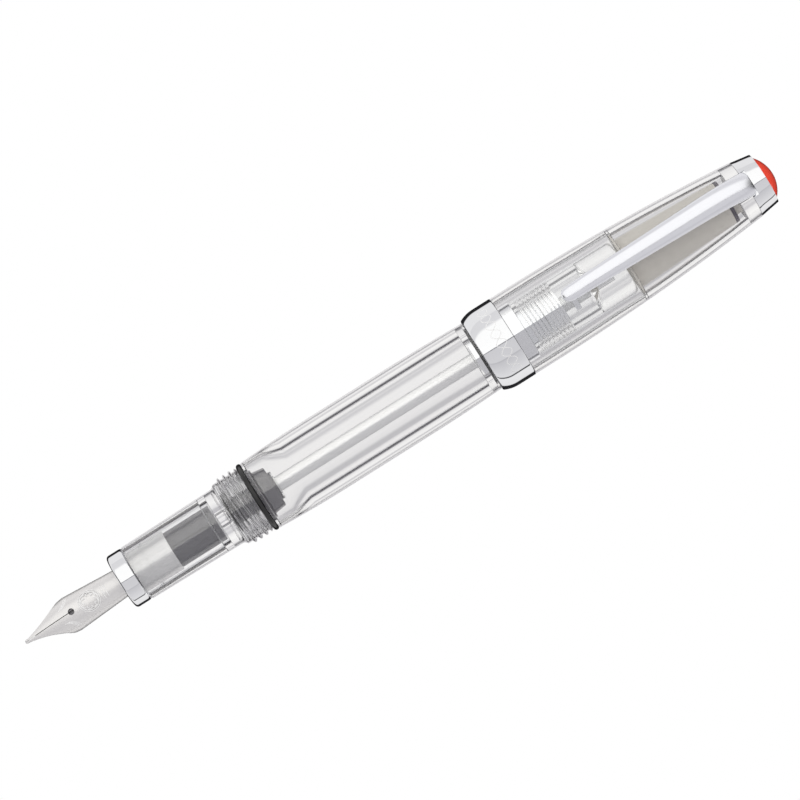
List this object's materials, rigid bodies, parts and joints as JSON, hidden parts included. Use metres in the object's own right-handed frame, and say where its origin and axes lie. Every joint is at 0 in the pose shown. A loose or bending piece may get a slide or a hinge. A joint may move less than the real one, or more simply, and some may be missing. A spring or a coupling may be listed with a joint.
{
  "type": "fountain pen",
  "caption": "Clear plastic pocket fountain pen with a vacuum plunger filler, steel nib, chrome trim and a screw cap with a clip, posted on the filling knob.",
  "frame": {"origin": "on the pen's axis, halfway along the straight middle of the barrel", "axes": "+X along the pen towards the cap's finial, -X towards the nib, +Z towards the clip and the nib's engraved face"},
  "size_m": [0.1432, 0.0144, 0.0157],
  "materials": {
    "clear_plastic": "water-clear, polished",
    "frosted_plastic": "satin, slightly smoky",
    "white_plastic": "satin",
    "feed_black": "satin black",
    "plunger_grey": "satin dark grey",
    "red_jewel": "translucent red, polished",
    "black_rubber": "smooth",
    "nib_steel": "polished, lightly engraved",
    "tipping_metal": "ground",
    "rod_steel": "fine turned",
    "chrome": "mirror"
  },
  "bodies": {
    "barrel": {"barrel": "clear_plastic", "joint_o_ring": "black_rubber", "rod_guide": "white_plastic", "rod_o_rings": "black_rubber", "collar_gasket": "black_rubber", "filler_collar": "chrome"},
    "grip_travel": {"section_trim_ring": "chrome"},
    "grip": {"grip_section": "clear_plastic", "nib_housing": "clear_plastic"},
    "nib_unit": {"nib": "nib_steel", "nib_tipping": "tipping_metal", "feed": "feed_black"},
    "plunger": {"plunger_seal": "black_rubber", "shut_off_washer": "black_rubber"},
    "knob": {"filling_knob": "clear_plastic", "plunger_rod": "rod_steel", "rod_lock_nut": "rod_steel", "plunger_head": "plunger_grey", "head_washer": "clear_plastic"},
    "cap_carrier": {"inner_cap": "frosted_plastic", "inner_cap_ring": "black_rubber"},
    "cap": {"cap_tube": "clear_plastic", "cap_band": "chrome", "cap_bolt": "rod_steel", "finial_ring": "chrome", "finial_jewel": "red_jewel"},
    "clip": {"clip": "chrome"}
  },
  "joints": [
    {"name": "grip_travel", "type": "slide", "parent": "barrel", "child": "grip_travel", "axis": [-1, 0, 0], "range_m": [0, 0.0035]},
    {"name": "grip_unscrew", "type": "hinge", "parent": "grip_travel", "child": "grip", "pos_m": [0, 0, 0], "axis": [-1, 0, 0], "range_deg": [0, 1800]},
    {"name": "nib_pull", "type": "slide", "parent": "grip", "child": "nib_unit", "axis": [-1, 0, 0], "range_m": [0, 0.0186]},
    {"name": "plunger_pull", "type": "slide", "parent": "barrel", "child": "plunger", "axis": [1, 0, 0], "range_m": [0, 0.037]},
    {"name": "knob_turn", "type": "hinge", "parent": "plunger", "child": "knob", "pos_m": [0, 0, 0], "axis": [1, 0, 0], "continuous": true},
    {"name": "cap_lift", "type": "slide", "parent": "knob", "child": "cap_carrier", "axis": [1, 0, 0], "range_m": [0, 0.045]},
    {"name": "cap_turn", "type": "hinge", "parent": "cap_carrier", "child": "cap", "pos_m": [0, 0, 0], "axis": [1, 0, 0], "continuous": true},
    {"name": "clip_flex", "type": "hinge", "parent": "cap", "child": "clip", "pos_m": [0.07305, 0, 0.0046], "axis": [0, 1, 0], "range_deg": [0, 5], "stiffness_Nm_per_rad": 0.05}
  ],
  "couplings": [
    {"joint": "grip_unscrew", "follows": "grip_travel", "rad_per_m": 8976}
  ]
}
